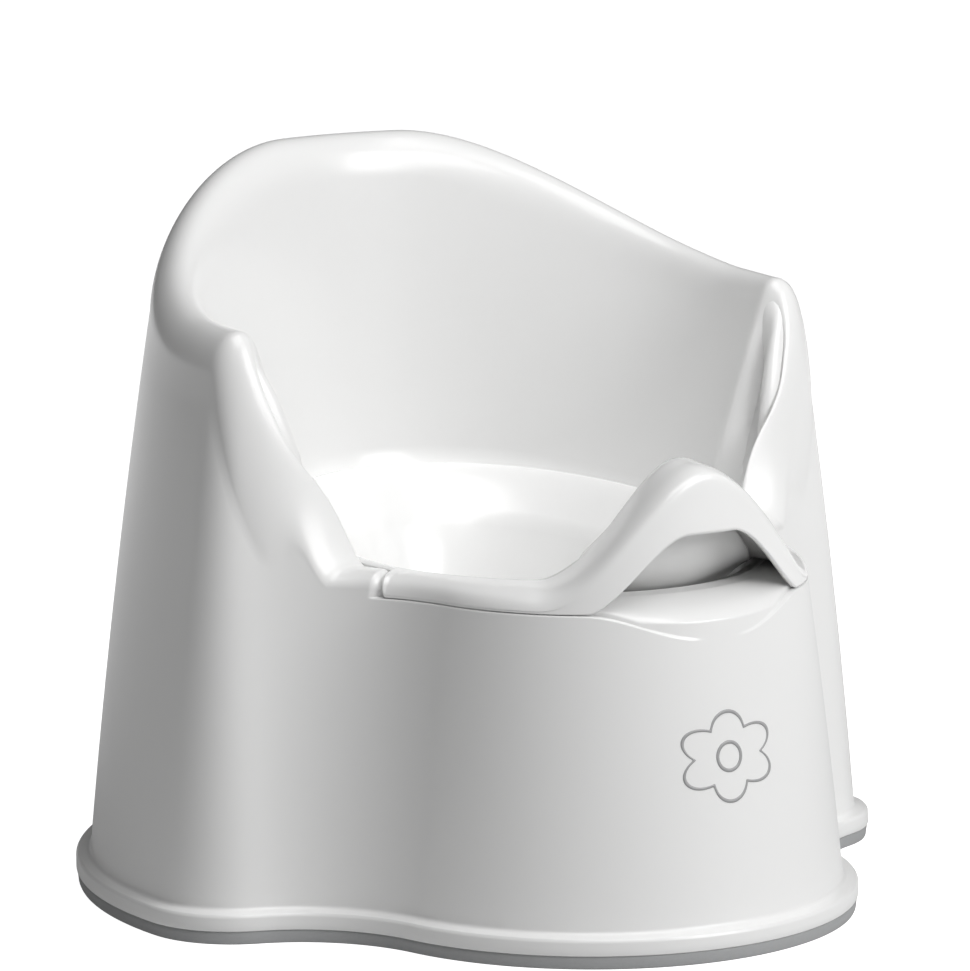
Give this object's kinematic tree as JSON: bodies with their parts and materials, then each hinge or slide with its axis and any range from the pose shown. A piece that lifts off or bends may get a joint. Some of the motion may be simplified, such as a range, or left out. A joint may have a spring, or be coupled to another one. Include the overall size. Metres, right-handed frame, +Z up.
{
  "type": "potty training chair",
  "caption": "White moulded potty training chair with a high curved backrest, rolled armrests, a lift-out potty with a splash guard, and a grey grip strip under the base.",
  "frame": {"origin": "middle of the bounding box at floor level", "axes": "+Z up, the child faces -Y, +X to the side; the chair is symmetric about X = 0"},
  "size_m": [0.38, 0.377, 0.3201],
  "materials": {
    "shell_plastic": "satin white injection-moulded polypropylene",
    "potty_plastic": "glossy white injection-moulded polypropylene",
    "grip_rubber": "matt grey soft grip"
  },
  "bodies": {
    "chair": {"chair_shell": "shell_plastic", "base_grip_strip": "grip_rubber"},
    "potty": {"inner_potty": "potty_plastic"}
  },
  "joints": [
    {"name": "potty_lift", "type": "slide", "parent": "chair", "child": "potty", "axis": [0, 0, 1], "range_m": [0, 0.2]}
  ]
}
